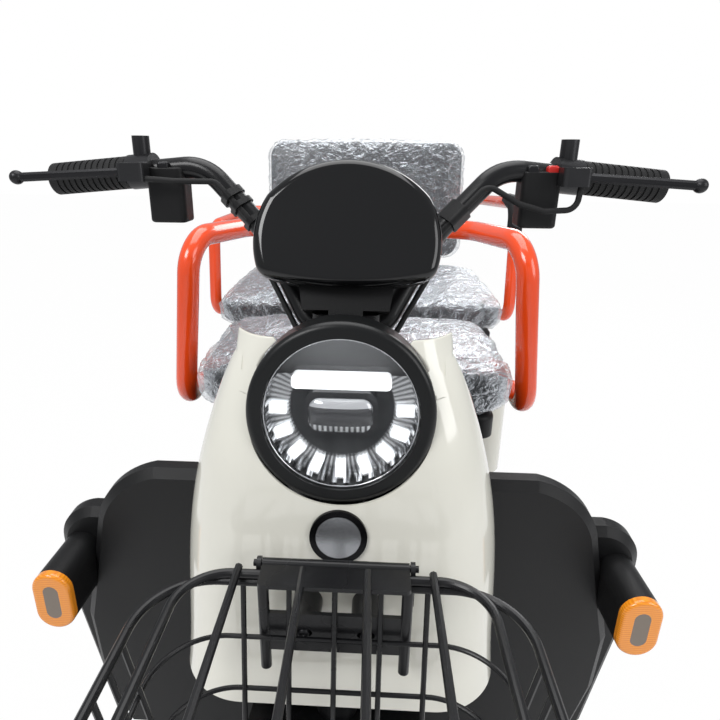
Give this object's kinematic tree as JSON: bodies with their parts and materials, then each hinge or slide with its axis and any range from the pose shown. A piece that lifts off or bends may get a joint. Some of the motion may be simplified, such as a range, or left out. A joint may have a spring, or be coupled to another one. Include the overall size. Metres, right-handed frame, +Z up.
{
  "type": "electric passenger tricycle",
  "caption": "Electric passenger tricycle with wire front basket, round headlamp shield, tube rails, padded driver and passenger seats and a backrest.",
  "frame": {"origin": "on the ground under the middle of the whole vehicle", "axes": "+Z up, the vehicle faces -Y, +X is its left side"},
  "size_m": [0.7655, 1.7657, 1.0696],
  "materials": {
    "black_frame": "satin",
    "ivory_gloss": "gloss",
    "black_plastic": "fine grain",
    "cover_plastic": "gloss",
    "screen": "gloss",
    "reflector": "polished",
    "lamp_white": "gloss",
    "lamp_glass": "clear",
    "amber": "gloss",
    "red_lens": "gloss",
    "badge": "satin",
    "orange_gloss": "gloss",
    "rubber": "matte",
    "tyre": "matte",
    "rim": "satin",
    "motor": "satin",
    "battery": "matte",
    "spring_steel": "satin",
    "lever_metal": "satin",
    "leatherette": "soft sheen"
  },
  "bodies": {
    "frame": {"main_frame": "black_frame", "floor_board": "black_plastic", "front_cowl": "ivory_gloss", "leg_shield": "black_plastic", "shoulder_panels": "black_plastic", "inner_cover": "cover_plastic", "headlamp_bezel": "cover_plastic", "headlamp_reflector": "reflector", "headlamp_lights": "lamp_white", "headlamp_lens": "lamp_glass", "signal_pods": "black_plastic", "signal_lenses": "amber", "badge_disc": "badge", "basket": "black_frame", "basket_bracket": "black_frame", "rear_axle": "black_frame", "motor": "motor", "rear_shocks": "spring_steel", "battery_box": "black_plastic", "battery_pack": "battery", "driver_pan": "black_plastic", "driver_cushion": "leatherette", "driver_rail": "orange_gloss", "rear_body": "ivory_gloss", "storage_tub": "black_plastic", "backrest": "leatherette", "backrest_frame": "black_frame", "rear_rails": "orange_gloss", "rail_sleeve": "rubber", "tail_lamps": "red_lens", "rear_bumper": "black_frame", "plate_carrier": "black_plastic"},
    "steering": {"fork": "black_frame", "front_fender": "black_plastic", "handlebar": "black_frame", "grips": "rubber", "lever_perches": "lever_metal", "brake_levers": "lever_metal", "switch_boxes": "black_plastic", "cluster_visor": "cover_plastic", "cluster_housing": "black_plastic", "cluster_screen": "screen", "control_cables": "rubber", "cable_clips": "black_plastic"},
    "front_wheel": {"front_tyre": "tyre", "front_rim": "rim"},
    "rear_wheel_left": {"rear_tyre_left": "tyre", "rear_rim_left": "rim"},
    "rear_wheel_right": {"rear_tyre_right": "tyre", "rear_rim_right": "rim"},
    "basket_lid": {"basket_lid": "black_frame"},
    "passenger_seat": {"passenger_pan": "black_plastic", "passenger_cushion": "leatherette"}
  },
  "joints": [
    {"name": "steering", "type": "hinge", "parent": "frame", "child": "steering", "pos_m": [0, -0.44, 0.86], "axis": [0, 0.2924, 0.9563], "range_deg": [-35, 35]},
    {"name": "front_wheel_spin", "type": "hinge", "parent": "steering", "child": "front_wheel", "pos_m": [0, -0.6779, 0.205], "axis": [1, 0, 0], "continuous": true},
    {"name": "rear_wheel_left_spin", "type": "hinge", "parent": "frame", "child": "rear_wheel_left", "pos_m": [0.31, 0.52, 0.205], "axis": [1, 0, 0], "continuous": true},
    {"name": "rear_wheel_right_spin", "type": "hinge", "parent": "frame", "child": "rear_wheel_right", "pos_m": [-0.31, 0.52, 0.205], "axis": [1, 0, 0], "continuous": true},
    {"name": "basket_lid_hinge", "type": "hinge", "parent": "frame", "child": "basket_lid", "pos_m": [0, -0.593, 0.694], "axis": [-1, 0, 0], "range_deg": [0, 100]},
    {"name": "seat_hinge", "type": "hinge", "parent": "frame", "child": "passenger_seat", "pos_m": [0, 0.184, 0.656], "axis": [1, 0, 0], "range_deg": [0, 80]}
  ]
}
